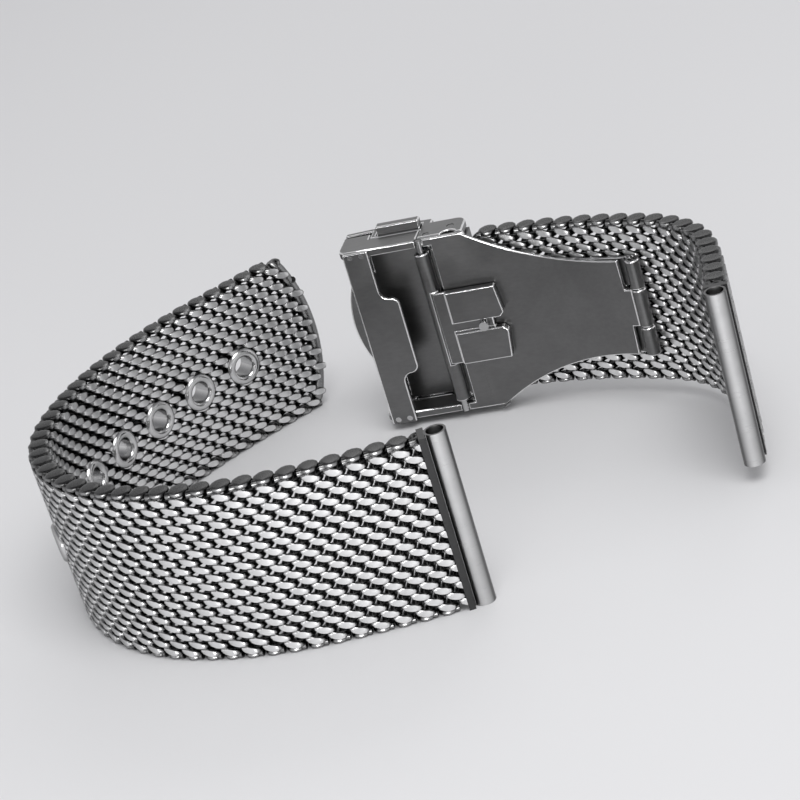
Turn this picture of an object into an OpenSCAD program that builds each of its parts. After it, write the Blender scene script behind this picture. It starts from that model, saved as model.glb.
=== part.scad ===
/* [Strap] */
// Width of the mesh
strap_w = 20; // [18:0.5:22]
// Thickness of the mesh
strap_t = 2.5; // [2.3:0.1:2.6]
// Distance from one row of the weave to the next
row_pitch = 1.14; // [1.1:0.01:1.18]
// Length of the long half, from its bar to the middle of its tip
long_len = 102.4; // [100:0.2:106]
// How far the middle of the tip bulges past its corners
tip_bulge = 2.4; // [1:0.1:3]
// Running gap at each flexing row of the strap
flex_gap = 0.15; // [0.12:0.01:0.2]
// Depth of the grooves between the coils, of which the solids have every second one
groove_depth = 0.5; // [0.3:0.05:0.6]
// Radius of those grooves
groove_r = 0.6; // [0.5:0.05:0.7]

/* [Pose of the long half] */
// Direction in which the long half leaves its bar
long_heading = 179; // [175:0.5:181]
// Bend of the first stretch from the bar
long_turn_1 = 6.5; // [2:0.5:9]
// Bend of the second stretch
long_turn_2 = 24; // [20:0.5:27]
// Bend of the third stretch
long_turn_3 = 37; // [34:0.5:40]
// Bend of the fourth stretch
long_turn_4 = 40.5; // [38:0.5:44]
// Bend of the fifth stretch
long_turn_5 = 23; // [20:0.5:26]
// Bend of the sixth stretch
long_turn_6 = 15.5; // [12:0.5:18]
// Bend of the stretch that ends in the tip
long_turn_7 = 5; // [2:0.5:8]

/* [Eyelets] */
// Distance from one eyelet to the next, in rows of the weave
eyelet_rows = 6; // [5.9:0.05:6.1]
// Distance from the middle of the tip to the first eyelet
first_eyelet = 11.6; // [10.5:0.1:12]
// Outside diameter of an eyelet's rim
eyelet_d = 4.5; // [4:0.1:5]
// Diameter of the hole in an eyelet
eyelet_hole = 2.4; // [2:0.1:2.6]
// Outside diameter of an eyelet's barrel
eyelet_barrel = 3; // [2.9:0.05:3.3]
// How far a rim stands out of the mesh
rim_height = 0.35; // [0.2:0.05:0.5]

/* [End tubes] */
// Outside diameter of the tubes at the ends of the mesh
tube_d = 2.3; // [2.2:0.05:2.4]
// Bore of those tubes, for a spring bar
tube_bore = 1.85; // [1.7:0.05:1.9]
// Thickness of the plate between a tube and the mesh
end_plate_t = 0.7; // [0.5:0.05:0.8]

/* [Short half] */
// Place of the bar of the short half, across
short_x = 31; // [30:0.5:36]
// Place of the bar of the short half, in depth
short_y = 7.4; // [5:0.2:9]
// Direction in which the short half leaves its bar
short_heading = 75; // [72:0.5:78]
// Length of the stretch at the bar
short_len_1 = 13; // [12:0.5:14]
// Length of the middle stretch
short_len_2 = 13; // [12:0.5:14]
// Length of the stretch at the clasp
short_len_3 = 23; // [22:0.5:24]
// Bend of the stretch at the bar
short_turn_1 = 10; // [8:0.5:12]
// Bend of the middle stretch
short_turn_2 = 53; // [50:0.5:56]
// Bend of the stretch at the clasp, which the blades follow
short_turn_3 = 24.2; // [22:0.2:26]

/* [Clasp] */
// Room between the clasp's side walls and the edges of the strap
side_room = 0.15; // [0.12:0.01:0.2]
// Thickness of the clasp's side walls
wall_t = 0.95; // [0.9:0.05:1.1]
// Thickness of the cover's plate
cover_t = 0.8; // [0.7:0.05:0.9]
// Radius of the cover's outer face
cover_radius = 50; // [45:1:80]
// How far the cover's rounded end bulges
cover_bulge = 2; // [1.6:0.1:2.4]
// Width of that bulge
bulge_w = 13.8; // [12:0.2:16]
// How far a button stands out of the clasp's side
button_proud = 1; // [0.7:0.05:1.1]
// Travel of a button
button_travel = 0.7; // [0.5:0.05:0.7]
// Length of a button along the strap
button_len = 5.2; // [4.8:0.1:5.3]
// Running gap around a button
button_gap = 0.08; // [0.05:0.01:0.1]
// Thickness of the folding blades
blade_t = 0.5; // [0.45:0.01:0.52]
// Gap between the strap, the outer blade and the inner blade
blade_gap = 0.25; // [0.22:0.01:0.28]
// Length of the blades, measured along the strap from the clasp's bar to the fold
blade_len = 22; // [21:0.5:23]
// Width of the blades at their narrow part
blade_waist = 11.8; // [9:0.2:12]
// Diameter of the pins on which the blades turn
pin_d = 0.8; // [0.7:0.05:0.8]
// Outside diameter of the knuckles
knuckle_d = 1.3; // [1.25:0.01:1.34]
// Outside diameter of the knuckles at the fold
fold_knuckle_d = 1.6; // [1.5:0.05:1.65]
// Running gap of a pin in its knuckles, on the radius
pin_gap = 0.04; // [0.03:0.01:0.06]
// Thickness of the keeper plate
keeper_t = 0.6; // [0.5:0.05:0.7]
// Thickness of the tang plate's fingers
tang_t = 1; // [0.8:0.05:1.1]
// Width of one finger of the tang plate
finger_w = 4; // [3.4:0.1:4.2]
// Slit between the two fingers
finger_slit = 1.2; // [1:0.1:1.4]

/* [Hidden] */
$fn = 64;

eps = 0.01;
half_t = strap_t / 2;
clasp_w = strap_w + 2 * (side_room + wall_t);
// The clasp's lower button stands on the table, so that half's mesh is raised by this
clasp_z = button_proud;
short_z = clasp_z + wall_t + side_room;

// Stretches of the long half: the last four carry the eyelets, two to a stretch
eyelet_pitch = eyelet_rows * row_pitch;
tail_stretch = first_eyelet + eyelet_pitch / 2;
pair_stretch = 2 * eyelet_pitch;
plain_stretch = (long_len - tail_stretch - 3 * pair_stretch) / 3;
long_lens = [for (k = [0 : 6]) k < 3 ? plain_stretch : k < 6 ? pair_stretch : tail_stretch];
long_turns = [long_turn_1, long_turn_2, long_turn_3, long_turn_4, long_turn_5, long_turn_6, long_turn_7];
short_lens = [short_len_1, short_len_2, short_len_3];
short_turns = [short_turn_1, short_turn_2, short_turn_3];

// Where the mesh begins, measured from a bar's axis
mesh_start = tube_d / 2 + end_plate_t - 0.05;

// How deep an eyelet's rim sits in the mesh, and the width of the even ring round it
rim_seat = 0.2;
rim_land = 0.4;

// Distance from one groove to the next, and the mesh that is left between a groove and an end
groove_pitch = 2 * row_pitch;
groove_room = 1.5;

function arc_radius(len, turn) = len * 180 / (PI * turn);

// The place and heading after one stretch: side is -1 for a bend to the right, 1 to the left
function after_stretch(at, len, turn, side) =
    let (chord = 2 * arc_radius(len, turn) * sin(turn / 2), dir = at[2] + side * turn / 2)
    [at[0] + chord * cos(dir), at[1] + chord * sin(dir), at[2] + side * turn];

function stretch_start(at, lens, turns, side, index, k = 0) =
    k == index ? at
    : stretch_start(after_stretch(at, lens[k], turns[k], side), lens, turns, side, index, k + 1);

function long_at(index) = stretch_start([0, 0, long_heading], long_lens, long_turns, -1, index);
function short_at(index) =
    stretch_start([short_x, short_y, short_heading], short_lens, short_turns, 1, index);

clasp_at = short_at(3);

// Places in the clasp's frame: x runs from the clasp's bar towards the mesh, y points outwards
cover_out = 3.3;
cover_in = cover_out - cover_t;
outer_blade_y = -half_t - blade_gap - blade_t;
inner_blade_y = outer_blade_y - blade_gap - blade_t;
cover_pin_x = -2.7;
cover_pin_y = outer_blade_y + knuckle_d / 2 + 0.1;
tang_pin_x = -3.45;
tang_pin_y = inner_blade_y + 0.1;
tang_barrel_d = 1.7;
finger_root_x = tang_pin_x + tang_barrel_d / 2 + 0.75;
web_t = 0.5;
wall_low = 0.45;
lug_low = cover_pin_y - knuckle_d / 2 - 0.05;
lug_start = -3.7;
lug_end = 1.6;
lug_high = wall_low + 1.6;
rail_end = 1.9;
wall_start = -9.8;
wall_end = -2.6;
body_start = -13.1;
floor_low = 0.5;
floor_t = 0.4;
floor_end = -4.3;
part_gap = 0.1;
keeper_start = -12.4;
keeper_ear = -9.4;
keeper_middle = -7.4;
button_x = -9;
button_low_y = 0.95;
button_high_y = 2.2;
cover_mid_x = -7;
housing_h = 3;
spring_d = 1;
spring_x = button_x + button_len / 2;
spring_y = 1.65;
arm_in = 2;
hook_x = -11.5;
hook_len = 0.8;
waist_run = 16.5;
blade_radius = arc_radius(short_len_3, short_turn_3);
blade_turn = short_turn_3 * blade_len / short_len_3;
fold_y = outer_blade_y - blade_gap / 2 - 0.12;
fold_middle = 4.7;
outer_blade_w = strap_w - 1;
finger_end = 4.4;
finger_low = inner_blade_y - 0.3 - tang_t;
web_end = 2.9;
stud_x = 1.8;
stud_d = 1.1;
stud_foot = 0.7;
stud_high = 0.6;
rivet_d = 0.7;
rivet_places = [
    for (x = [keeper_start + 0.8, keeper_ear - 0.8], z = [wall_t / 2, clasp_w - wall_t / 2])
    [x, z]
];

// Sizes of the clasp's spring bar
bar_d = tube_bore - 0.1;
bar_bore = 1.2;
bar_mouth = 0.86;
tip_d = 0.8;
tip_reach = wall_t + side_room;
tip_travel = 1;
piston_d = 1.1;
piston_len = 2.5;
mouth_t = 0.5;
bar_spring_start = mouth_t + piston_len + tip_travel + 0.1;

// Distances of a stretch's eyelets from its start
pair_places = [eyelet_pitch / 2, eyelet_pitch * 3 / 2];
tail_places = [eyelet_pitch / 2];

function clasp_place() = [clasp_at[0], clasp_at[1], clasp_z];

module in_clasp() {
    translate(clasp_place()) rotate([0, 0, clasp_at[2] - 180]) children();
}

// A slab that starts at the origin, heads along x and bends to the right
module bent_slab(len, turn, y_low, y_high, height) {
    radius = arc_radius(len, turn);
    translate([0, -radius, 0])
        rotate([0, 0, 90 - turn])
            rotate_extrude(angle = turn, $fn = 256)
                translate([radius + y_low, 0]) square([y_high - y_low, height]);
}

// The outline of a stretch of mesh: a bent strip that is round at its start and hollow at its end
module stretch_outline(len, turn, round_start, hollow_end) {
    radius = arc_radius(len, turn);
    far = 2 * radius;
    difference() {
        union() {
            intersection() {
                translate([0, -radius]) circle(r = radius + half_t, $fn = 256);
                translate([0, -radius]) polygon([[0, 0], [0, far], far * [sin(turn), cos(turn)]]);
            }
            if (round_start) circle(r = half_t - 0.02);
        }
        translate([0, -radius]) circle(r = radius - half_t, $fn = 256);
        if (hollow_end)
            translate([0, -radius]) rotate(-turn) translate([0, radius]) circle(r = half_t + flex_gap);
        if (!round_start) translate([-1, -half_t - 1]) square([1 + mesh_start, strap_t + 2]);
    }
}

// Grooves across both faces of a stretch, which stop short of its eyelets
module row_grooves(len, turn, from, to, places) {
    difference() {
        for (place = [from + groove_pitch : groove_pitch : to - groove_room], side = [-1, 1])
            along(place, len, turn) translate([0, side * (half_t + groove_r - groove_depth), -1])
                cylinder(h = strap_w + 2, r = groove_r);
        at_places(places, len, turn) translate([0, 0, -strap_t])
            cylinder(h = 2 * strap_t, d = eyelet_d + 2 * rim_land);
    }
}

// One stretch of mesh, in which the next stretch turns at its hollow end
module mesh_stretch(len, turn, round_start = true, hollow_end = true, places = [], tail = 0) {
    difference() {
        linear_extrude(strap_w) stretch_outline(len, turn, round_start, hollow_end);
        row_grooves(len, turn, round_start ? 0 : mesh_start, len - tail, places);
        eyelet_seats(places, len, turn);
    }
}

module at_long(index) {
    at = long_at(index);
    translate([at[0], at[1], 0]) rotate([0, 0, at[2]]) children();
}

module at_short(index) {
    at = short_at(index);
    translate([at[0], at[1], short_z]) rotate([0, 0, at[2]]) mirror([0, 1, 0]) children();
}

// Moves its children to a distance along a stretch, with y across the strap's thickness
module along(distance, len, turn) {
    radius = arc_radius(len, turn);
    translate([0, -radius, 0]) rotate([0, 0, -turn * distance / len]) translate([0, radius, 0]) children();
}

module at_places(places, len, turn) {
    for (place = places)
        along(place, len, turn) translate([0, 0, strap_w / 2]) rotate([90, 0, 0]) children();
}

module eyelet_seats(places, len, turn) {
    at_places(places, len, turn) {
        translate([0, 0, -half_t - 1]) cylinder(h = strap_t + 2, d = eyelet_barrel + 0.1);
        for (flip = [0, 1]) mirror([0, 0, flip])
            translate([0, 0, half_t - rim_seat]) cylinder(h = 1, d = eyelet_d + 0.2);
    }
}

// A set eyelet: a barrel with a rolled rim on each face of the mesh
module eyelet() {
    rim_r = eyelet_d / 2;
    seat = half_t - rim_seat;
    top = half_t + rim_height;
    hole_r = eyelet_hole / 2;
    roll = (rim_r - hole_r) / 2;
    rise = top - seat;
    rotate_extrude() {
        translate([hole_r, -seat]) square([eyelet_barrel / 2 - hole_r, 2 * seat]);
        for (flip = [0, 1]) mirror([0, flip]) intersection() {
            translate([hole_r, seat]) square([2 * roll, rise]);
            translate([hole_r + roll, top - roll]) circle(r = roll * 1.02);
        }
    }
}

module eyelets(places, len, turn) {
    color("silver") at_places(places, len, turn) eyelet();
}

module long_mesh(index, places = [], round_start = true, hollow_end = true) {
    len = long_lens[index];
    turn = long_turns[index];
    color("darkgray") at_long(index) mesh_stretch(len, turn, round_start, hollow_end, places);
}

module long_mesh_1() { long_mesh(0, round_start = false); }
module long_mesh_2() { long_mesh(1); }
module long_mesh_3() { long_mesh(2); }
module long_mesh_4() { long_mesh(3, pair_places); }
module long_mesh_5() { long_mesh(4, pair_places); }
module long_mesh_6() { long_mesh(5, pair_places); }

// The tip is cut to a shallow arc
module long_mesh_7() {
    tip_r = (pow(strap_w / 2, 2) + pow(tip_bulge, 2)) / (2 * tip_bulge);
    len = long_lens[6];
    turn = long_turns[6];
    color("darkgray") at_long(6) difference() {
        mesh_stretch(len, turn, true, false, tail_places, tip_bulge);
        along(len, len, turn) difference() {
            translate([-tip_bulge - 1, -half_t - 1, -1])
                cube([tip_bulge + 3, strap_t + 2, strap_w + 2]);
            translate([-tip_r, half_t + 2, strap_w / 2]) rotate([90, 0, 0])
                cylinder(h = strap_t + 4, r = tip_r, $fn = 180);
        }
    }
}

module eyelets_4() { at_long(3) eyelets(pair_places, long_lens[3], long_turns[3]); }
module eyelets_5() { at_long(4) eyelets(pair_places, long_lens[4], long_turns[4]); }
module eyelets_6() { at_long(5) eyelets(pair_places, long_lens[5], long_turns[5]); }
module eyelet_7() { at_long(6) eyelets(tail_places, long_lens[6], long_turns[6]); }

// A tube for a spring bar, with the plate that closes the end of the mesh
module end_tube() {
    color("silver") difference() {
        union() {
            cylinder(h = strap_w, d = tube_d);
            translate([mesh_start - end_plate_t, -half_t, 0]) cube([end_plate_t, strap_t, strap_w]);
            translate([0, -tube_d / 4, 0]) cube([mesh_start, tube_d / 2, strap_w]);
        }
        translate([0, 0, -1]) cylinder(h = strap_w + 2, d = tube_bore);
    }
}

module long_end_tube() { at_long(0) end_tube(); }
module short_end_tube() { at_short(0) end_tube(); }
module clasp_end_tube() {
    translate([clasp_at[0], clasp_at[1], short_z]) rotate([0, 0, clasp_at[2] - 180]) end_tube();
}

module short_mesh(index) {
    color("darkgray") at_short(index) mesh_stretch(short_lens[index], short_turns[index]);
}

module short_mesh_1() {
    color("darkgray") at_short(0) mesh_stretch(short_lens[0], short_turns[0], false);
}
module short_mesh_2() { short_mesh(1); }

// The stretch at the clasp ends at the plate of its tube
module short_mesh_3() {
    color("darkgray") at_short(2) difference() {
        mesh_stretch(short_lens[2], short_turns[2], true, false, tail = mesh_start);
        along(short_lens[2], short_lens[2], short_turns[2])
            translate([-mesh_start, -half_t - 1, -1]) cube([mesh_start + 1, strap_t + 2, strap_w + 2]);
    }
}

module at_bar() {
    translate([clasp_at[0], clasp_at[1], short_z]) children();
}

module clasp_bar() {
    color("lightgray") at_bar() difference() {
        cylinder(h = strap_w, d = bar_d);
        translate([0, 0, mouth_t]) cylinder(h = strap_w - 2 * mouth_t, d = bar_bore);
        translate([0, 0, -1]) cylinder(h = strap_w + 2, d = bar_mouth);
    }
}

// A tip reaches through the lug, and its piston stays inside the bar
module bar_tip() {
    translate([0, 0, -tip_reach + 0.05]) cylinder(h = tip_reach + mouth_t + 0.1, d = tip_d);
    translate([0, 0, mouth_t + 0.05]) cylinder(h = piston_len, d = piston_d);
}

module clasp_bar_tip_low() { color("silver") at_bar() bar_tip(); }
module clasp_bar_tip_high() {
    color("silver") at_bar() translate([0, 0, strap_w]) mirror([0, 0, 1]) bar_tip();
}

// A coil spring along z: points on each ring of the wire come from the helix
module coil(length, coil_d, wire_d, turns) {
    steps = 12;
    sides = 6;
    rings = turns * steps;
    wire_r = wire_d / 2;
    run_r = coil_d / 2 - wire_r;
    rise = length - wire_d;
    points = [
        for (k = [0 : rings], j = [0 : sides - 1])
            let (a = 360 * k / steps, b = 360 * j / sides, r = run_r + wire_r * cos(b))
            [r * cos(a), r * sin(a), wire_r + rise * k / rings + wire_r * sin(b)]
    ];
    faces = concat(
        [[for (j = [0 : sides - 1]) j]],
        [[for (j = [sides - 1 : -1 : 0]) rings * sides + j]],
        [
            for (k = [0 : rings - 1], j = [0 : sides - 1], half = [0, 1])
                let (n = (j + 1) % sides, here = k * sides, next = here + sides)
                half == 0 ? [here + j, next + j, next + n] : [here + j, next + n, here + n]
        ]
    );
    polyhedron(points, faces);
}

module clasp_bar_spring() {
    color("gray") at_bar() translate([0, 0, bar_spring_start])
        coil(strap_w - 2 * bar_spring_start, bar_bore - 0.15, 0.2, 10);
}

// Two side walls, one at each edge of the clasp
module both_walls(x0, x1, y0, y1) {
    for (z = [0, clasp_w - wall_t]) translate([x0, y0, z]) cube([x1 - x0, y1 - y0, wall_t]);
}

module across(x, y, d, room = 1) {
    translate([x, y, -room]) cylinder(h = clasp_w + 2 * room, d = d);
}

module cover_dome(inset) {
    translate([cover_mid_x, cover_out - cover_radius, -1])
        cylinder(h = clasp_w + 2, r = cover_radius - inset, $fn = 360);
}

// Outline of the cover seen from outside, in x and z
module cover_outline() {
    end_r = (pow(bulge_w / 2, 2) + pow(cover_bulge, 2)) / (2 * cover_bulge);
    translate([body_start, 0]) square([wall_end - body_start, clasp_w]);
    intersection() {
        translate([body_start - cover_bulge + end_r, clasp_w / 2]) circle(r = end_r, $fn = 180);
        translate([body_start - 2 * cover_bulge, 0]) square([2 * cover_bulge + 0.5, clasp_w]);
    }
}

module cover_plate() {
    difference() {
        intersection() {
            translate([0, cover_out + 1, 0]) rotate([90, 0, 0]) linear_extrude(6) cover_outline();
            cover_dome(0);
        }
        cover_dome(cover_t);
    }
}

module button_window(z, height, grow) {
    translate([button_x - grow, button_low_y - grow, z])
        cube([button_len + 2 * grow, button_high_y - button_low_y + 2 * grow, height]);
}

// The cover: a domed plate, side walls with the buttons' windows, and lugs for the bar and the blade's pin
module cover() {
    arch_r = 0.9;
    lug_r = 1.2;
    color("gainsboro") in_clasp() difference() {
        union() {
            cover_plate();
            intersection() {
                both_walls(wall_start, wall_end, wall_low, cover_out);
                cover_dome(cover_t / 2);
            }
            both_walls(lug_start, wall_end, lug_low, wall_low + eps);
            both_walls(wall_end - eps, lug_end, lug_low, lug_high);
        }
        for (z = [-1, clasp_w - wall_t - 1]) button_window(z, wall_t + 2, button_gap);
        across(0, 0, tip_d + 0.1);
        across(cover_pin_x, cover_pin_y, pin_d);
        across(0, lug_low - 0.1, 2 * arch_r);
        translate([lug_end - lug_r, lug_high - lug_r, -1]) difference() {
            cube([lug_r + 1, lug_r + 1, clasp_w + 2]);
            translate([0, 0, -1]) cylinder(h = clasp_w + 4, r = lug_r);
        }
    }
}

// The block in the middle of the cover against which the buttons' springs push
module spring_housing() {
    housing_low = floor_low + floor_t + 0.1;
    color("lightgray") in_clasp() translate([spring_x - 1.6, housing_low, (clasp_w - housing_h) / 2])
        cube([3.2, cover_in - 0.15 - housing_low, housing_h]);
}

// The high button: a head in the window, a flange inside the wall, an arm with a pocket, and a hook
module button() {
    inner = clasp_w - wall_t;
    flange = 0.3;
    flange_t = 0.5;
    arm_low = button_low_y + 0.25;
    arm_z = inner - button_gap - arm_in;
    hook_t = 0.6;
    difference() {
        union() {
            button_window(inner - button_gap - eps, wall_t + button_gap + button_proud + eps, 0);
            translate([button_x - flange, arm_low, inner - button_gap - flange_t])
                cube([button_len + 2 * flange, button_high_y - arm_low, flange_t]);
            translate([spring_x - 1.8, arm_low, arm_z]) cube([3.6, button_high_y - arm_low, arm_in]);
            translate([hook_x, arm_low, arm_z]) cube([spring_x - hook_x, 0.6, arm_in]);
            translate([hook_x, floor_low - 0.35, arm_z]) cube([hook_len, 1.2, hook_t]);
        }
        translate([spring_x, spring_y, arm_z - 1]) cylinder(h = arm_in - 0.4 + 1, d = spring_d + 0.1);
    }
}

module other_side() {
    translate([0, 0, clasp_w]) mirror([0, 0, 1]) children();
}

module button_high() { color("silver") in_clasp() button(); }
module button_low() { color("silver") in_clasp() other_side() button(); }

// A button's spring stands on the housing and ends inside the button's pocket, clear of its full travel
module button_spring() {
    start = clasp_w / 2 + housing_h / 2;
    finish = clasp_w - wall_t - button_gap - 0.4 - button_travel - 0.1;
    translate([spring_x, spring_y, start]) coil(finish - start, spring_d, 0.2, 7);
}

module button_spring_high() { color("gray") in_clasp() button_spring(); }
module button_spring_low() { color("gray") in_clasp() other_side() button_spring(); }

module cover_pin() { color("silver") in_clasp() across(cover_pin_x, cover_pin_y, pin_d - 2 * eps, -0.05); }

// Outline of a blade in x and z: full width at its start, narrowed by a round cut in each edge
module waist_cuts(start, wide, narrow) {
    depth = (wide - narrow) / 2;
    cut_r = (pow(waist_run, 2) + pow(depth, 2)) / (2 * depth);
    for (flip = [0, 1])
        translate([start, clasp_w / 2, 0]) mirror([0, flip])
            translate([waist_run, narrow / 2 + cut_r]) circle(r = cut_r, $fn = 240);
}

// A blade: straight under the clasp, then bent like the strap above it
module blade(start, low, wide, narrow, waist_start) {
    intersection() {
        union() {
            translate([start, low, 0]) cube([-start + eps, blade_t, clasp_w]);
            bent_slab(blade_len, blade_turn, low, low + blade_t, clasp_w);
        }
        translate([0, 5, 0]) rotate([90, 0, 0]) linear_extrude(30) difference() {
            translate([start - 1, (clasp_w - wide) / 2]) square([blade_len + 20, wide]);
            waist_cuts(waist_start, wide, narrow);
        }
    }
}

module at_fold() {
    translate([0, -blade_radius, 0]) rotate([0, 0, -blade_turn])
        translate([0, blade_radius + fold_y, 0]) children();
}

// The outer blade lies next to the strap, turns on the cover's pin, and ends in two knuckles at the fold
module outer_blade() {
    fold_side = (blade_waist - fold_middle) / 2;
    color("gainsboro") in_clasp() difference() {
        union() {
            difference() {
                blade(cover_pin_x, outer_blade_y, outer_blade_w, blade_waist, 0);
                at_fold() translate([-fold_knuckle_d, -2, (clasp_w - fold_middle) / 2 - 0.1])
                    cube([fold_knuckle_d * 2, 4, fold_middle + 0.2]);
            }
            translate([cover_pin_x, cover_pin_y, (clasp_w - outer_blade_w) / 2])
                cylinder(h = outer_blade_w, d = knuckle_d);
            for (z = [(clasp_w - blade_waist) / 2, (clasp_w + fold_middle) / 2 + 0.05])
                at_fold() translate([0, 0, z]) cylinder(h = fold_side - 0.05, d = fold_knuckle_d);
        }
        across(cover_pin_x, cover_pin_y, pin_d + 2 * pin_gap);
        at_fold() translate([0, 0, -1]) cylinder(h = clasp_w + 2, d = pin_d);
    }
}

module fold_pin() {
    color("silver") in_clasp() at_fold() translate([0, 0, (clasp_w - blade_waist) / 2 + 0.1])
        cylinder(h = blade_waist - 0.2, d = pin_d - 2 * eps);
}

// A side rail with a rounded start, in x and y
module rail_outline() {
    corner = 1.2;
    rail_low = inner_blade_y;
    rail_high = wall_low - part_gap;
    translate([body_start + corner, rail_low])
        square([lug_start - part_gap - body_start - corner, rail_high - rail_low]);
    translate([body_start, rail_low + corner]) square([corner + eps, rail_high - rail_low - corner]);
    translate([body_start + corner, rail_low + corner]) circle(r = corner);
    translate([lug_start - 0.2, rail_low])
        square([rail_end - lug_start + 0.2, lug_low - part_gap - rail_low]);
    translate([body_start, wall_low - 0.2]) square([wall_start - part_gap - body_start, 1.5]);
}

// The inner blade: a waisted blade that widens into a channel with two side rails and a floor under the cover
module inner_blade() {
    blade_start = tang_pin_x + tang_barrel_d / 2 + 0.45;
    slot_w = 2.5;
    floor_w = strap_w - 0.2;
    slot_z = (clasp_w - floor_w) / 2 + 0.5;
    color("gainsboro") in_clasp() difference() {
        union() {
            difference() {
                blade(blade_start, inner_blade_y, clasp_w, blade_waist, rail_end - 0.4);
                for (z = [-1, (clasp_w + fold_middle) / 2 - 0.05])
                    at_fold() translate([-fold_knuckle_d, -2, z])
                        cube([fold_knuckle_d * 2, 4, (clasp_w - fold_middle) / 2 + 1.05]);
            }
            at_fold() translate([0, 0, (clasp_w - fold_middle) / 2 + 0.05])
                cylinder(h = fold_middle - 0.1, d = fold_knuckle_d);
            for (z = [0, clasp_w - wall_t]) translate([0, 0, z]) linear_extrude(wall_t) rail_outline();
            translate([body_start, floor_low, 0])
                cube([wall_start - part_gap - body_start, floor_t, clasp_w]);
            translate([body_start + 1, floor_low, (clasp_w - floor_w) / 2])
                cube([floor_end - body_start - 1, floor_t, floor_w]);
        }
        for (z = [slot_z, clasp_w - slot_z - slot_w])
            translate([hook_x - 0.3, floor_low - 1, z]) cube([hook_len + 0.6, 2, slot_w]);
        across(tang_pin_x, tang_pin_y, pin_d);
        at_fold() translate([0, 0, -1]) cylinder(h = clasp_w + 2, d = pin_d + 2 * pin_gap);
    }
}

// The keeper plate bridges the rails on the wrist side: narrow ears and a wider middle, with eased steps
module keeper_outline() {
    ear_w = 5.2;
    ease = (keeper_middle - keeper_ear) / 2;
    translate([keeper_start, 0]) square([keeper_ear - keeper_start, clasp_w]);
    translate([keeper_ear - eps, ear_w + ease])
        square([ease, clasp_w - 2 * (ear_w + ease)]);
    translate([keeper_ear - eps, ear_w + 2 * ease])
        square([2 * ease, clasp_w - 2 * (ear_w + 2 * ease)]);
    for (flip = [0, 1]) translate([0, flip * clasp_w]) mirror([0, flip]) {
        difference() {
            translate([keeper_ear - eps, ear_w]) square([ease, ease + eps]);
            translate([keeper_ear + ease, ear_w]) circle(r = ease);
        }
        translate([keeper_ear + ease, ear_w + 2 * ease]) circle(r = ease);
    }
}

module rivet_holes(d) {
    for (place = rivet_places)
        translate([place[0], inner_blade_y + 1, place[1]]) rotate([90, 0, 0])
            cylinder(h = keeper_t + 2, d = d);
}

module keeper_plate() {
    color("silver") in_clasp() difference() {
        translate([0, inner_blade_y, 0]) rotate([90, 0, 0]) linear_extrude(keeper_t) keeper_outline();
        rivet_holes(rivet_d);
    }
}

module keeper_rivets() {
    color("gray") in_clasp() for (place = rivet_places)
        translate([place[0], inner_blade_y, place[1]]) rotate([90, 0, 0])
            cylinder(h = keeper_t - 0.05, d = rivet_d - 2 * eps);
}

module tang_pin() { color("silver") in_clasp() across(tang_pin_x, tang_pin_y, pin_d - 2 * eps, -0.05); }

// One finger's outline, with a nose that is bevelled towards the slit
module finger_outline() {
    nose = 1.1;
    inside = finger_slit / 2;
    outside = inside + finger_w;
    polygon([
        [finger_root_x, inside],
        [finger_end - nose * 0.5, inside],
        [finger_end, inside + nose * 0.5],
        [finger_end - nose * 0.35, outside],
        [finger_root_x, outside]
    ]);
}

// The tang plate: a barrel on its pin, and two fingers that lie along the inner blade
module tang_plate() {
    barrel_len = strap_w - 1;
    color("gainsboro") in_clasp() difference() {
        union() {
            translate([tang_pin_x, tang_pin_y, (clasp_w - barrel_len) / 2])
                cylinder(h = barrel_len, d = tang_barrel_d);
            translate([0, finger_low + tang_t, clasp_w / 2]) rotate([90, 0, 0])
                linear_extrude(tang_t) for (flip = [0, 1]) mirror([0, flip]) finger_outline();
            translate([tang_pin_x, finger_low + tang_t - web_t, clasp_w / 2 - finger_slit / 2 - finger_w])
                cube([web_end - tang_pin_x, web_t, finger_slit + 2 * finger_w]);
        }
        across(tang_pin_x, tang_pin_y, pin_d + 2 * pin_gap);
        translate([stud_x, finger_low - 1, clasp_w / 2]) rotate([-90, 0, 0])
            cylinder(h = tang_t + 2, d = stud_foot);
    }
}

// The stud takes the tail's eyelet: it stands in the slit and is riveted through the web
module tang_stud() {
    web_y = finger_low + tang_t - web_t;
    color("silver") in_clasp() translate([stud_x, web_y + web_t, clasp_w / 2]) rotate([90, 0, 0]) {
        cylinder(h = web_t + eps, d = stud_foot - 2 * eps);
        translate([0, 0, web_t]) cylinder(h = tang_t - web_t + stud_high, d = stud_d);
    }
}

long_mesh_1();
long_mesh_2();
long_mesh_3();
long_mesh_4();
long_mesh_5();
long_mesh_6();
long_mesh_7();
long_end_tube();
eyelets_4();
eyelets_5();
eyelets_6();
eyelet_7();
short_mesh_1();
short_mesh_2();
short_mesh_3();
short_end_tube();
clasp_end_tube();
clasp_bar();
clasp_bar_tip_low();
clasp_bar_tip_high();
clasp_bar_spring();
cover();
spring_housing();
button_low();
button_high();
button_spring_low();
button_spring_high();
cover_pin();
outer_blade();
fold_pin();
inner_blade();
keeper_plate();
keeper_rivets();
tang_pin();
tang_plate();
tang_stud();
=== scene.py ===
import math

import bpy
import numpy as np
from mathutils import Matrix, Vector


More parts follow.
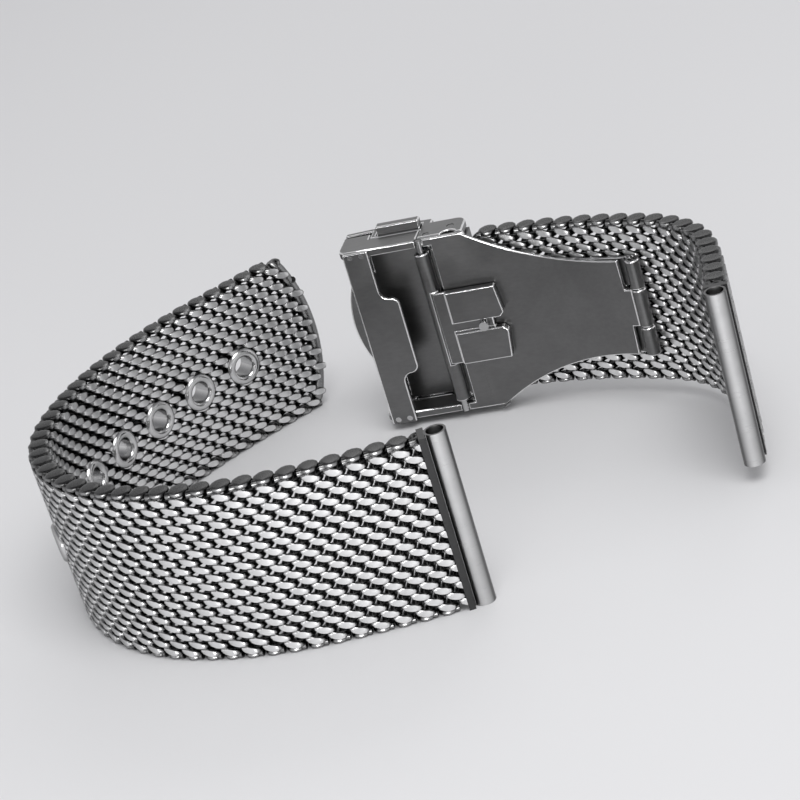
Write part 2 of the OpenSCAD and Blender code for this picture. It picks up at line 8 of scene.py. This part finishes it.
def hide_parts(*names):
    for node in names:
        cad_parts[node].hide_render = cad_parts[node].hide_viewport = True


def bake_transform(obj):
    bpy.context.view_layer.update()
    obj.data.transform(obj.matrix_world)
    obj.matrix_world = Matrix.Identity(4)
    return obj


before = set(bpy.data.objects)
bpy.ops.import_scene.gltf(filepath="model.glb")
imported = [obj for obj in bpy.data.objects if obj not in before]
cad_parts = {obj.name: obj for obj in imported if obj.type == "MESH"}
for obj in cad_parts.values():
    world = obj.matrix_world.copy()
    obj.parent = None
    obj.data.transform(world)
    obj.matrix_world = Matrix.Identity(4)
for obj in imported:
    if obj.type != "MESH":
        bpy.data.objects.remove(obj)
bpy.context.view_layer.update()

MM = 0.001

# Sizes of the strap in millimetres, as in the source of the solids
strap_w = 20.0
half_t = 1.25
row_pitch = 1.14
coil_pitch = 2.0
long_len = 102.4
tip_bulge = 2.4
mesh_start = 1.8
first_eyelet = 11.6
eyelet_pitch = 6 * row_pitch
tail_stretch = first_eyelet + eyelet_pitch / 2
pair_stretch = 2 * eyelet_pitch
plain_stretch = (long_len - tail_stretch - 3 * pair_stretch) / 3
long_lens = [plain_stretch] * 3 + [pair_stretch] * 3 + [tail_stretch]
long_turns = [6.5, 24, 37, 40.5, 23, 15.5, 5]
short_lens = [13, 13, 23]
short_turns = [10, 53, 24.2]
long_heading = 179
short_heading = 75
short_place = (31, 7.4)
short_z = 2.1
tube_r = 1.15
clasp_tube_place = (8.87, 43.24)

# One coil: its wire, half its size along and through the strap, and how square its crowns are
wire_r = 0.4
coil_a = 0.86
coil_b = 1.1
crown_power = 0.65

# Points round the wire, and half the angle of its ground flat in degrees, least and most
sides = 12
least_flat = 30
most_flat = 81

# A coil's ends: the gap to the strap's edge, and the length over which they sink to a share of its height
edge_gap = 0.03
end_room = 0.45
end_rise = 0.62

# The first row's distance from the start of the mesh, and how far a coil may reach back over that start
row_start = 0.9
start_overlap = 0.25

# Where coils are cut: their gap to the tip, their distance from an eyelet's axis, and the fewest rings kept
tip_room = 0.2
eyelet_room = 1.8
fewest_rings = 3

# Pressed coil ends on the strap's edges: half their size along and through it, their depth into it, and
# the least distance of their middle from the start of the mesh and from the tip
bead_a = 1.1
bead_b = 1.2
bead_t = 0.6
bead_start = 0.8
bead_tip_room = 0.9

# Fused edge of the tip: half its size, its rings, its first height, and how it thins towards its ends
rim_s = 0.85
rim_v = 0.85
rim_rings = 40
rim_start = 0.3
rim_taper = 0.9
rim_thin = 0.4

# How far out the strap's edges and the rim count as, from 0 to 1, which sets how much painted shade the wire
# gets there, and the width of those edges
edge_tone = 0.7
rim_tone = 0.84
edge_fade = 0.5

# Angle over which an edge of the weave is sharp, in degrees, and the length of a millimetre on its map
crease = 38
map_scale = 0.05

# Height given to the ends of the zone about a hinge, in metres
blend_z = 0.01

# The clasp's plates: their polished edges, and the longest facet of the small bores, which stay crisp
edge_width = 0.16
bore_facet = 0.1

# Angles in degrees between two faces: shaded sharp, bevelled, and taken as flat. Then the reach of the weld
sharp_angle = 30
bevel_angle = 40
flat_angle = 0.5
weld_distance = 0.002


class Path:
    """The centre line of one half: a chain of arcs seen from above."""

    def __init__(self, x, y, heading, lens, turns, side):
        self.side = side
        self.ends = np.cumsum([0] + list(lens))
        self.starts = []
        self.bends = []
        h = math.radians(heading)
        for length, turn in zip(lens, turns):
            k = side * math.radians(turn) / length
            self.starts.append((x, y, h))
            self.bends.append(k)
            x += (math.sin(h + k * length) - math.sin(h)) / k
            y -= (math.cos(h + k * length) - math.cos(h)) / k
            h += k * length
        self.starts = np.array(self.starts)
        self.bends = np.array(self.bends)

    def at(self, s, v=0.0):
        """The place at distance s along the line and v towards the outer face, in millimetres."""
        s = np.asarray(s, float)
        index = np.clip(np.searchsorted(self.ends, s, side="right") - 1, 0, len(self.bends) - 1)
        d = s - self.ends[index]
        x, y, h = self.starts[index].T
        k = self.bends[index]
        now = h + k * d
        x = x + (np.sin(now) - np.sin(h)) / k
        y = y - (np.cos(now) - np.cos(h)) / k
        return x + self.side * np.sin(now) * v, y - self.side * np.cos(now) * v


long_path = Path(0, 0, long_heading, long_lens, long_turns, -1)
short_path = Path(*short_place, short_heading, short_lens, short_turns, 1)


def tip_limit(w):
    """Where the long half ends at a height w: a shallow arc."""
    radius = ((strap_w / 2) ** 2 + tip_bulge**2) / (2 * tip_bulge)
    return long_len - radius + np.sqrt(radius**2 - (w - strap_w / 2) ** 2)


def coil_line(row, hand):
    """The centre line of one flat coil: its angle, and its height above the strap's lower edge.

    Every second row is half a coil higher. Points lie close where a crown is ground flat.
    """
    low = wire_r + edge_gap
    high = strap_w - low
    shift = coil_pitch * (0.25 + 0.5 * (row % 2))
    reach = (half_t - wire_r * math.cos(math.radians(least_flat))) / coil_b
    cut = math.degrees(math.acos(reach ** (1 / crown_power)))
    crown_steps = np.array([-1, -0.8, -0.4, 0, 0.4, 0.8, 1]) * cut
    side_steps = (90 - cut) * np.array([0.25, 0.6, 1]) + cut
    half_turn = np.concatenate([crown_steps, side_steps])
    half_turn = np.unique(np.concatenate([half_turn, -half_turn[half_turn > cut]]))[1:]
    first = 360 * (low - shift) / coil_pitch - 90
    last = 360 * (high - shift) / coil_pitch + 90
    turns = np.arange(math.floor(first / 180) - 1, math.ceil(last / 180) + 2)
    phase = (turns[:, None] * 180 + 90 + half_turn[None, :]).ravel()
    phase = phase[(phase > first) & (phase < last)]
    w = np.clip(shift + coil_pitch * phase / 360, low, high)
    angle = np.radians(phase) * hand
    return angle, w


def coil_rings(s_row, row, hand, tip):
    """Rings of points round the coil's wire in strap coordinates, with the crowns ground flat."""
    angle, w = coil_line(row, hand)
    cos_a = np.cos(angle)
    sin_a = np.sin(angle)
    ease = np.clip((np.minimum(w, strap_w - w) - wire_r - edge_gap) / end_room, 0, 1)
    rise = coil_b * np.sign(sin_a) * np.abs(sin_a) ** crown_power * (end_rise + (1 - end_rise) * ease)
    centre = np.stack([s_row + coil_a * cos_a, rise, w], 1)
    if tip:
        centre[:, 0] = np.minimum(centre[:, 0], tip_limit(w) - wire_r)
    ahead = np.gradient(centre, axis=0)
    ahead /= np.linalg.norm(ahead, axis=1)[:, None]
    out = np.stack([cos_a / coil_a, rise / coil_b**2, 0 * w], 1)
    out -= np.sum(out * ahead, 1)[:, None] * ahead
    out /= np.linalg.norm(out, axis=1)[:, None]
    across = np.cross(ahead, out)
    room = (half_t - np.abs(centre[:, 1])) / (wire_r * np.maximum(np.abs(out[:, 1]), 1e-3))
    flat = np.clip(np.arccos(np.clip(room, -1, 1)), math.radians(least_flat), math.radians(most_flat))
    j = np.arange(sides)
    turn = np.where(j == 0, 0.0, 1.0)
    span = (j - 1) / (sides - 2)
    theta = turn * (flat[:, None] + span[None, :] * (2 * math.pi - 2 * flat[:, None]))
    outward = np.cos(theta)[:, :, None] * out[:, None, :]
    sideways = np.sin(theta)[:, :, None] * across[:, None, :]
    points = centre[:, None, :] + wire_r * (outward + sideways)
    points[:, :, 1] = np.clip(points[:, :, 1], -half_t, half_t)
    crown = np.degrees(flat) > least_flat - 0.1
    crown &= np.abs(centre[:, 1]) > half_t - wire_r
    return centre, points, crown


def edge_bead(s_row, z, side):
    """Rings of a pressed coil end, which closes the edge of the mesh at one row in two."""
    shape = np.array([(0.85, 1), (1, 0.6), (1, 0.4), (0.95, 0.15), (0.82, 0.03), (0.65, 0)])
    theta = np.arange(sides) * 2 * math.pi / sides * side
    inward = -1 if z else 1
    rings = np.zeros((len(shape), sides, 3))
    rings[:, :, 0] = s_row + bead_a * shape[:, :1] * np.cos(theta)
    rings[:, :, 1] = bead_b * shape[:, :1] * np.sin(theta)
    rings[:, :, 2] = z + inward * shape[:, 1:] * bead_t
    return rings


def tip_rim(hand):
    """Rings of the fused edge that closes the tip."""
    w = np.linspace(rim_start, strap_w - rim_start, rim_rings)
    theta = np.arange(sides) * 2 * math.pi / sides * -hand
    grow = np.clip(np.minimum(w, strap_w - w) / rim_taper, rim_thin, 1) ** 0.5
    rings = np.zeros((len(w), sides, 3))
    rings[:, :, 0] = (tip_limit(w) - rim_s)[:, None] + rim_s * grow[:, None] * np.cos(theta)
    rings[:, :, 1] = rim_v * grow[:, None] * np.sin(theta)
    rings[:, :, 2] = w[:, None]
    return rings


def tube(verts, faces, marks, points, crown):
    """Adds rings of points as a closed tube, with the ground faces of its crowns marked."""
    base = len(verts) * sides
    verts.extend(points)
    n = len(points)
    ring = base + np.arange(n - 1)[:, None] * sides
    j = np.arange(sides)[None, :]
    k = (j + 1) % sides
    quads = np.stack([ring + j, ring + k, ring + sides + k, ring + sides + j], 2)
    faces.append(quads.reshape(-1, 4))
    flat = np.zeros((n - 1, sides), int)
    on = crown[:-1] & crown[1:]
    flat[on, 0] = 1
    flat[on, sides - 1] = 1
    marks.append(flat.reshape(-1))
    for at, order in ((base, 1), (base + (n - 1) * sides, -1)):
        fan = at + np.arange(sides)[:: -order]
        for c in range(1, sides - 2, 2):
            faces.append(np.array([[fan[0], fan[c], fan[c + 1], fan[c + 2]]]))
            marks.append(np.zeros(1, int))


def coils(s_low, s_high, s_last, hand, holes, tip):
    """The points, faces and crown marks of all the coils between two places on a strap."""
    verts = []
    faces = []
    marks = []
    s_first = mesh_start + row_start
    rows = range(math.ceil((s_low - s_first) / row_pitch), math.ceil((s_high - s_first) / row_pitch))
    for row in rows:
        s_row = s_first + row * row_pitch
        if s_row > s_last:
            break
        centre, points, crown = coil_rings(s_row, row, hand, tip)
        keep = np.ones(len(centre), bool)
        for s_hole, w_hole, radius in holes:
            keep &= np.hypot(centre[:, 0] - s_hole, centre[:, 2] - w_hole) > radius
        if tip:
            keep &= s_row < tip_limit(centre[:, 2]) - wire_r - tip_room
        keep &= (centre[:, 0] > mesh_start - start_overlap) & (centre[:, 0] < s_last + coil_a + wire_r)
        edges = np.flatnonzero(np.diff(np.concatenate([[0], keep.astype(int), [0]])))
        for a, b in zip(edges[::2], edges[1::2]):
            if b - a < fewest_rings:
                continue
            tube(verts, faces, marks, points[a:b], crown[a:b])
        if row % 2 == 1:
            for z, out in ((0, -1), (strap_w, 1)):
                limit = tip_limit(z) - bead_tip_room if tip else s_last + 1
                if mesh_start + bead_start < s_row < limit:
                    bead = edge_bead(s_row, z, out * hand)
                    tube(verts, faces, marks, bead, np.zeros(len(bead), bool))
    rim_points = 0
    if tip and s_high >= long_len:
        rim = tip_rim(hand)
        tube(verts, faces, marks, rim, np.zeros(len(rim), bool))
        rim_points = len(rim) * sides
    return np.array(verts).reshape(-1, 3), np.concatenate(faces), np.concatenate(marks), rim_points


def painted_shade_mask(points, rim_points):
    """How far out each point counts as, the mask of the wire's painted shade: 1 on the crowns, raised along
    the edges, and one tone on the rim.
    """
    edge = np.clip(1 - np.minimum(points[:, 2], strap_w - points[:, 2]) / edge_fade, 0, 1)
    bare = np.maximum(np.abs(points[:, 1]) / half_t, edge_tone * edge)
    bare[len(bare) - rim_points:] = rim_tone
    return bare


def weave(name, path, s_low, s_high, s_last, hand, z_low, holes, tip):
    """The coils of one length of a strap as a single mesh, with the strap's own coordinates as its map."""
    points, faces, marks, rim_points = coils(s_low, s_high, s_last, hand, holes, tip)
    if path.side * hand > 0:
        faces = faces[:, ::-1]
    x, y = path.at(points[:, 0], points[:, 1])
    place = np.stack([x, y, z_low + points[:, 2]], 1) * MM
    mesh = bpy.data.meshes.new(name)
    mesh.vertices.add(len(place))
    mesh.vertices.foreach_set("co", place.astype(np.float32).ravel())
    mesh.loops.add(faces.size)
    mesh.loops.foreach_set("vertex_index", faces.astype(np.int32).ravel())
    mesh.polygons.add(len(faces))
    mesh.polygons.foreach_set("loop_start", (np.arange(len(faces)) * 4).astype(np.int32))
    mesh.polygons.foreach_set("material_index", marks.astype(np.int32))
    mesh.update(calc_edges=True)
    mesh.shade_smooth()
    mesh.set_sharp_from_angle(angle=math.radians(crease))
    # The height attribute carries the mask of the wire's painted shade.
    height = mesh.attributes.new("height", "FLOAT", "POINT")
    height.data.foreach_set("value", painted_shade_mask(points, rim_points).astype(np.float32))
    layer = mesh.uv_layers.new(name="strap")
    flat_uv = points[faces.ravel()][:, [0, 2]] * map_scale
    layer.data.foreach_set("uv", flat_uv.astype(np.float32).ravel())
    obj = bpy.data.objects.new(name, mesh)
    bpy.context.scene.collection.objects.link(obj)
    return obj


class Nodes:
    """A short way to write a material's nodes."""

    def __init__(self, name):
        self.material = bpy.data.materials.new(name)
        self.material.use_nodes = True
        self.tree = self.material.node_tree
        self.tree.nodes.clear()
        self.output = self.add("ShaderNodeOutputMaterial")

    def add(self, kind, **values):
        node = self.tree.nodes.new(kind)
        for key, value in values.items():
            setattr(node, key, value)
        return node

    def put(self, node, socket, value):
        target = node.inputs[socket]
        if isinstance(value, bpy.types.NodeSocket):
            self.tree.links.new(value, target)
        else:
            target.default_value = value
        return node

    def noise(self, vector, scale, detail=3.0, rough=0.5):
        node = self.add("ShaderNodeTexNoise")
        self.put(node, "Vector", vector)
        self.put(node, "Scale", scale)
        self.put(node, "Detail", detail)
        self.put(node, "Roughness", rough)
        return node.outputs["Fac"]

    def ramp(self, value, low, high, out_low, out_high):
        node = self.add("ShaderNodeMapRange")
        self.put(node, "Value", value)
        self.put(node, "From Min", low)
        self.put(node, "From Max", high)
        self.put(node, "To Min", out_low)
        self.put(node, "To Max", out_high)
        return node.outputs["Result"]

    def stretch(self, vector, scale, turn=0.0):
        node = self.add("ShaderNodeMapping")
        self.put(node, "Vector", vector)
        node.inputs["Rotation"].default_value = (0, 0, turn)
        node.inputs["Scale"].default_value = scale
        return node.outputs["Vector"]

    def mix(self, factor, a, b):
        """A blend of two colours. Sockets 6, 7 and 2 are the node's colours."""
        node = self.add("ShaderNodeMix", data_type="RGBA")
        self.put(node, "Factor", factor)
        self.put(node, 6, a)
        self.put(node, 7, b)
        return node.outputs[2]

    def patches(self, noise, dark, light):
        """Two greys that follow a noise."""
        return self.mix(self.ramp(noise, 0.35, 0.65, 0, 1), grey(dark), grey(light))

    def bump(self, height, strength, distance):
        node = self.add("ShaderNodeBump")
        self.put(node, "Strength", strength)
        self.put(node, "Distance", distance)
        self.put(node, "Height", height)
        return node.outputs["Normal"]

    def steel(self, color, rough, normal=None):
        shader = self.add("ShaderNodeBsdfPrincipled")
        self.put(shader, "Metallic", 1.0)
        self.put(shader, "Base Color", color)
        self.put(shader, "Roughness", rough)
        if normal is not None:
            self.put(shader, "Normal", normal)
        self.tree.links.new(shader.outputs["BSDF"], self.output.inputs["Surface"])
        return self.material

    def painted_shade(self, color, low, high, level):
        """Painted shade: the colour where a surface faces the eye, and a darker one painted where it turns
        away.
        """
        away = self.add("ShaderNodeLayerWeight")
        away.inputs["Blend"].default_value = 0.5
        return self.mix(self.ramp(away.outputs["Facing"], low, high, 0, 1), color, grey(level))


def grey(level):
    return (level, level, level, 1)


def wire_material():
    """Drawn wire with painted shade: bright at its crowns, darker the deeper it lies in the mesh, and darker
    where it turns away from the eye.
    """
    n = Nodes("mesh_wire")
    where = n.add("ShaderNodeTexCoord").outputs["Object"]
    depth = n.add("ShaderNodeAttribute", attribute_name="height").outputs["Fac"]
    cloud = n.noise(where, 900, 4)
    fine = n.noise(where, 9000, 2)
    # Painted shade: the wire's grey darkens where it turns away from the eye.
    bright = n.painted_shade(n.patches(cloud, 0.5, 0.62), 0.2, 0.8, 0.12)
    # Painted shade: near black grey 0.06 where the wire lies deep in the mesh, blending to the lit colour
    # towards the crowns.
    color = n.mix(n.ramp(depth, 0.68, 1.0, 0, 1), grey(0.06), bright)
    rough = n.ramp(fine, 0.3, 0.7, 0.2, 0.34)
    return n.steel(color, rough)


def crown_material():
    """Crowns that are ground flat: satin, with grinding marks along the strap, and painted shade where they
    turn away from the eye.
    """
    n = Nodes("mesh_crowns")
    strap = n.add("ShaderNodeUVMap", uv_map="strap").outputs["UV"]
    marks = n.noise(n.stretch(strap, (30, 700, 1)), 1.0, 3, 0.6)
    cloud = n.noise(strap, 12, 2)
    # Painted shade: the crowns' grey darkens where they turn away from the eye.
    color = n.painted_shade(n.patches(cloud, 0.74, 0.86), 0.3, 0.9, 0.25)
    rough = n.ramp(marks, 0.3, 0.7, 0.28, 0.44)
    return n.steel(color, rough, n.bump(marks, 0.08, 0.01 * MM))


def satin_material(name, level, turn):
    """Brushed steel whose lines run along the local x direction after a turn about z."""
    n = Nodes(name)
    where = n.add("ShaderNodeTexCoord").outputs["Object"]
    lines = n.noise(n.stretch(where, (150, 3000, 3000), turn), 1.0, 4, 0.65)
    cloud = n.noise(where, 260, 3)
    cloudy = n.patches(cloud, level * 0.94, level * 1.06)
    lined = n.patches(cloud, level * 0.86, level * 0.96)
    color = n.mix(n.ramp(lines, 0.35, 0.65, 0, 1), lined, cloudy)
    return n.steel(color, n.ramp(cloud, 0.3, 0.7, 0.3, 0.36))


def tube_material(name, x, y):
    """A brushed tube about the axis at x and y in millimetres, darker where it turns away from the eye as
    painted shade, and the plate beside it painted near black as shade.
    """
    n = Nodes(name)
    where = n.add("ShaderNodeTexCoord").outputs["Object"]
    lines = n.noise(n.stretch(where, (200, 200, 9000)), 1.0, 3, 0.6)
    cloud = n.noise(where, 300, 3)
    offset = n.add("ShaderNodeVectorMath", operation="SUBTRACT")
    n.put(offset, 0, where)
    offset.inputs[1].default_value = (x * MM, y * MM, 0)
    flat = n.add("ShaderNodeVectorMath", operation="MULTIPLY")
    n.put(flat, 0, offset.outputs["Vector"])
    flat.inputs[1].default_value = (1, 1, 0)
    length = n.add("ShaderNodeVectorMath", operation="LENGTH")
    n.put(length, 0, flat.outputs["Vector"])
    plate = n.ramp(length.outputs["Value"], (tube_r + 0.01) * MM, (tube_r + 0.03) * MM, 0, 1)
    # Painted shade: the tube's grey darkens where it turns away from the eye.
    color = n.painted_shade(n.patches(cloud, 0.72, 0.8), 0.04, 0.5, 0.12)
    # Painted shade: the plate beside the tube is painted near black.
    color = n.mix(plate, color, grey(0.07))
    return n.steel(color, n.ramp(lines, 0.3, 0.7, 0.26, 0.38), n.bump(lines, 0.05, 0.01 * MM))


def polished_material(name, level, shaded=True):
    """Polished steel with faint handling marks, and, when shaded is true, painted shade where it turns away
    from the eye.
    """
    n = Nodes(name)
    where = n.add("ShaderNodeTexCoord").outputs["Object"]
    cloud = n.noise(where, 700, 4)
    scratch = n.noise(n.stretch(where, (600, 9000, 9000), 0.6), 1.0, 3)
    color = n.mix(n.ramp(cloud, 0.3, 0.7, 0, 1), grey(level * 0.94), grey(level * 1.04))
    # Painted shade: the grey darkens to a quarter of its level where the steel turns away from the eye.
    if shaded:
        color = n.painted_shade(color, 0.15, 0.8, level * 0.25)
    return n.steel(color, n.ramp(scratch, 0.35, 0.65, 0.08, 0.2))


# Materials of the pieces
clasp_turn = math.radians(17.8)
wire_steel = wire_material()
crown_steel = crown_material()
clasp_satin = satin_material("clasp_satin", 0.18, clasp_turn)
clasp_edge = polished_material("clasp_edge", 0.9, False)
polish = polished_material("pin_polish", 0.55)
eyelet_polish = polished_material("eyelet_polish", 0.7)
spring_steel = polished_material("spring_wire", 0.45)


def dress(names, material):
    """Gives the named nodes one material."""
    for name in names:
        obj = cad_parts[name]
        obj.data.materials.clear()
        obj.data.materials.append(material)


def sharp_edges():
    """A modifier's nodes that mark the edges of a plate.

    Steep edges are shaded sharp, and steeper ones get a bevel weight, except round small bores.
    """
    tree = bpy.data.node_groups.new("sharp_edges", "GeometryNodeTree")
    tree.interface.new_socket("Geometry", in_out="INPUT", socket_type="NodeSocketGeometry")
    tree.interface.new_socket("Geometry", in_out="OUTPUT", socket_type="NodeSocketGeometry")
    start = tree.nodes.new("NodeGroupInput")
    end = tree.nodes.new("NodeGroupOutput")
    bare = tree.nodes.new("GeometryNodeRemoveAttribute")
    bare.inputs["Name"].default_value = "custom_normal"
    smooth = tree.nodes.new("GeometryNodeSetShadeSmooth")
    smooth.domain = "FACE"
    sharp = tree.nodes.new("GeometryNodeSetShadeSmooth")
    sharp.domain = "EDGE"
    sharp.inputs["Shade Smooth"].default_value = False
    angle = tree.nodes.new("GeometryNodeInputMeshEdgeAngle")
    over = tree.nodes.new("FunctionNodeCompare")
    over.inputs[1].default_value = math.radians(sharp_angle)
    link = tree.links.new
    link(start.outputs[0], bare.inputs["Geometry"])
    link(bare.outputs["Geometry"], smooth.inputs["Geometry"])
    link(smooth.outputs["Geometry"], sharp.inputs["Geometry"])
    link(angle.outputs["Unsigned Angle"], over.inputs[0])
    link(over.outputs["Result"], sharp.inputs["Selection"])
    steep = tree.nodes.new("FunctionNodeCompare")
    steep.inputs[1].default_value = math.radians(bevel_angle)
    link(angle.outputs["Unsigned Angle"], steep.inputs[0])
    ends = tree.nodes.new("GeometryNodeInputMeshEdgeVertices")
    span = tree.nodes.new("ShaderNodeVectorMath")
    span.operation = "DISTANCE"
    link(ends.outputs["Position 1"], span.inputs[0])
    link(ends.outputs["Position 2"], span.inputs[1])
    long = tree.nodes.new("FunctionNodeCompare")
    long.inputs[1].default_value = bore_facet * MM
    link(span.outputs["Value"], long.inputs[0])
    both = tree.nodes.new("FunctionNodeBooleanMath")
    link(steep.outputs["Result"], both.inputs[0])
    link(long.outputs["Result"], both.inputs[1])
    weight = tree.nodes.new("GeometryNodeStoreNamedAttribute")
    weight.data_type = "FLOAT"
    weight.domain = "EDGE"
    weight.inputs["Name"].default_value = "bevel_weight_edge"
    link(sharp.outputs["Geometry"], weight.inputs["Geometry"])
    link(both.outputs["Boolean"], weight.inputs["Value"])
    link(weight.outputs["Geometry"], end.inputs[0])
    return tree


sharpen = sharp_edges()


def soften(names, width):
    """Eased and polished edges on the clasp's pieces."""
    for name in names:
        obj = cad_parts[name]
        obj.data.materials.append(clasp_edge)
        weld = obj.modifiers.new("weld", "WELD")
        weld.merge_threshold = weld_distance * MM
        flat = obj.modifiers.new("flat", "DECIMATE")
        flat.decimate_type = "DISSOLVE"
        flat.angle_limit = math.radians(flat_angle)
        sharp = obj.modifiers.new("sharp", "NODES")
        sharp.node_group = sharpen
        edge = obj.modifiers.new("edge", "BEVEL")
        edge.width = width * MM
        edge.segments = 2
        edge.limit_method = "WEIGHT"
        edge.harden_normals = True
        edge.material = 1
        edge.use_clamp_overlap = False


# Looks of the source's own solids
clasp_plates = [
    "cover", "inner_blade", "outer_blade", "keeper_plate", "tang_plate", "button_low", "button_high",
]
clasp_pins = [
    "clasp_bar", "clasp_bar_tip_low", "clasp_bar_tip_high", "cover_pin", "fold_pin", "tang_pin",
    "keeper_rivets", "tang_stud",
]
dress(clasp_plates, clasp_satin)
dress(["spring_housing"], clasp_satin)
soften(clasp_plates, edge_width)
dress(["long_end_tube"], tube_material("long_tube", 0, 0))
dress(["short_end_tube"], tube_material("short_tube", *short_place))
dress(["clasp_end_tube"], tube_material("clasp_tube", *clasp_tube_place))
dress(["eyelets_4", "eyelets_5", "eyelets_6", "eyelet_7"], eyelet_polish)
dress(clasp_pins, polish)
dress(["clasp_bar_spring", "button_spring_low", "button_spring_high"], spring_steel)


def long_half():
    """Six lengths of weave, each across one hinge."""
    eyelets = [(long_len - first_eyelet - k * eyelet_pitch, strap_w / 2, eyelet_room) for k in range(7)]
    zones = [4, 4, 2, 2, 2, 2]
    ends = long_path.ends
    middles = [0] + [(ends[k + 1] + ends[k + 2]) / 2 for k in range(5)] + [long_len]
    for k in range(6):
        name = f"long_weave_{k + 1}"
        obj = weave(name, long_path, middles[k], middles[k + 1], long_len, -1, 0.0, eyelets, True)
        finish_weave(obj, long_path, ends[k + 1], zones[k])
        nodes = [f"long_mesh_{k + 1}"] + (["long_mesh_7"] if k == 5 else [])
        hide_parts(*nodes)


def short_half():
    """Two lengths of weave, each across one hinge."""
    zone = 3
    ends = short_path.ends
    s_last = ends[3] - mesh_start - row_start
    middles = [0, (ends[1] + ends[2]) / 2, ends[3]]
    for k in range(2):
        name = f"short_weave_{k + 1}"
        obj = weave(name, short_path, middles[k], middles[k + 1], s_last, 1, short_z, [], False)
        finish_weave(obj, short_path, ends[k + 1], zone)
        nodes = [f"short_mesh_{k + 1}"] + (["short_mesh_3"] if k == 1 else [])
        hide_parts(*nodes)


def finish_weave(obj, path, hinge, zone):
    """Gives a weave its materials and bakes its transform. The ends of a zone to either side of the hinge
    are found but not used.
    """
    obj.data.materials.append(wire_steel)
    obj.data.materials.append(crown_steel)
    start = [float(c) * MM for c in path.at(hinge - zone)] + [blend_z]
    end = [float(c) * MM for c in path.at(hinge + zone)] + [blend_z]
    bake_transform(obj)


# The weave in place of the mesh solids
long_half()
short_half()


def stage():
    """A wide pale floor."""
    size = 6.0
    corners = [(-size, -size, 0), (size, -size, 0), (size, size, 0), (-size, size, 0)]
    mesh = bpy.data.meshes.new("floor")
    mesh.from_pydata(corners, [], [(0, 1, 2, 3)])
    floor = bpy.data.objects.new("floor", mesh)
    bpy.context.scene.collection.objects.link(floor)
    n = Nodes("floor_pale")
    shader = n.add("ShaderNodeBsdfPrincipled")
    n.put(shader, "Base Color", (0.76, 0.76, 0.77, 1))
    n.put(shader, "Roughness", 0.9)
    n.put(shader, "Specular IOR Level", 0.15)
    n.tree.links.new(shader.outputs["BSDF"], n.output.inputs["Surface"])
    mesh.materials.append(n.material)


def surroundings():
    """A world that lights softly, and looks pale at the horizon and darker overhead."""
    world = bpy.data.worlds.new("studio")
    bpy.context.scene.world = world
    world.use_nodes = True
    tree = world.node_tree
    tree.nodes.clear()
    out = tree.nodes.new("ShaderNodeOutputWorld")
    path = tree.nodes.new("ShaderNodeLightPath")
    dim = tree.nodes.new("ShaderNodeBackground")
    dim.inputs["Color"].default_value = (0.5, 0.5, 0.51, 1)
    pale = tree.nodes.new("ShaderNodeBackground")
    either = tree.nodes.new("ShaderNodeMath")
    either.operation = "MAXIMUM"
    mix = tree.nodes.new("ShaderNodeMixShader")
    tree.links.new(path.outputs["Is Camera Ray"], either.inputs[0])
    tree.links.new(path.outputs["Is Glossy Ray"], either.inputs[1])
    tree.links.new(either.outputs[0], mix.inputs[0])
    tree.links.new(dim.outputs[0], mix.inputs[1])
    tree.links.new(pale.outputs[0], mix.inputs[2])
    tree.links.new(mix.outputs[0], out.inputs["Surface"])
    where = tree.nodes.new("ShaderNodeTexCoord")
    parts = tree.nodes.new("ShaderNodeSeparateXYZ")
    rise = tree.nodes.new("ShaderNodeMapRange")
    tones = tree.nodes.new("ShaderNodeMix")
    tones.data_type = "RGBA"
    tree.links.new(where.outputs["Generated"], parts.inputs[0])
    tree.links.new(parts.outputs["Z"], rise.inputs["Value"])
    rise.inputs["From Min"].default_value = 0.1
    rise.inputs["From Max"].default_value = 0.8
    tree.links.new(rise.outputs["Result"], tones.inputs[0])
    tones.inputs[6].default_value = (0.8, 0.8, 0.81, 1)
    tones.inputs[7].default_value = (0.2, 0.2, 0.21, 1)
    tree.links.new(tones.outputs[2], pale.inputs["Color"])


def lamp(name, place, target, size, power):
    """A soft rectangular lamp, sizes in metres and power in watts."""
    data = bpy.data.lights.new(name, "AREA")
    data.shape = "RECTANGLE"
    data.size = size[0]
    data.size_y = size[1]
    data.energy = power
    obj = bpy.data.objects.new(name, data)
    bpy.context.scene.collection.objects.link(obj)
    obj.location = place
    obj.rotation_euler = (Vector(target) - Vector(place)).to_track_quat("-Z", "Y").to_euler()


def camera():
    """The photograph's view: looking 24.9 degrees down and rolled by 17 degrees."""
    down = math.radians(24.86)
    roll = math.radians(16.97)
    ahead = Vector((0, math.cos(down), -math.sin(down)))
    level_up = Vector((0, math.sin(down), math.cos(down)))
    level_right = Vector((1, 0, 0))
    right = level_right * math.cos(roll) - level_up * math.sin(roll)
    up = level_right * math.sin(roll) + level_up * math.cos(roll)
    data = bpy.data.cameras.new("camera")
    data.sensor_fit = "HORIZONTAL"
    data.sensor_width = 36
    data.lens = 108
    data.clip_start = 0.01
    obj = bpy.data.objects.new("camera", data)
    place = Vector((-2.37, -211.53, 122.13)) * MM
    obj.matrix_world = Matrix((
        (right.x, up.x, -ahead.x, place.x),
        (right.y, up.y, -ahead.y, place.y),
        (right.z, up.z, -ahead.z, place.z),
        (0, 0, 0, 1),
    ))
    bpy.context.scene.collection.objects.link(obj)
    bpy.context.scene.camera = obj


# Studio and camera
stage()
surroundings()
middle = (-0.005, 0.03, 0.01)
lamp("key", (0.08, -0.2, 0.45), middle, (0.3, 0.3), 1.2)
lamp("front", (-0.15, -0.5, 0.07), middle, (0.35, 0.1), 1.3)
lamp("back", (0.1, 0.4, 0.35), middle, (0.35, 0.2), 0.3)
camera()
bpy.context.scene.view_settings.view_transform = "Standard"
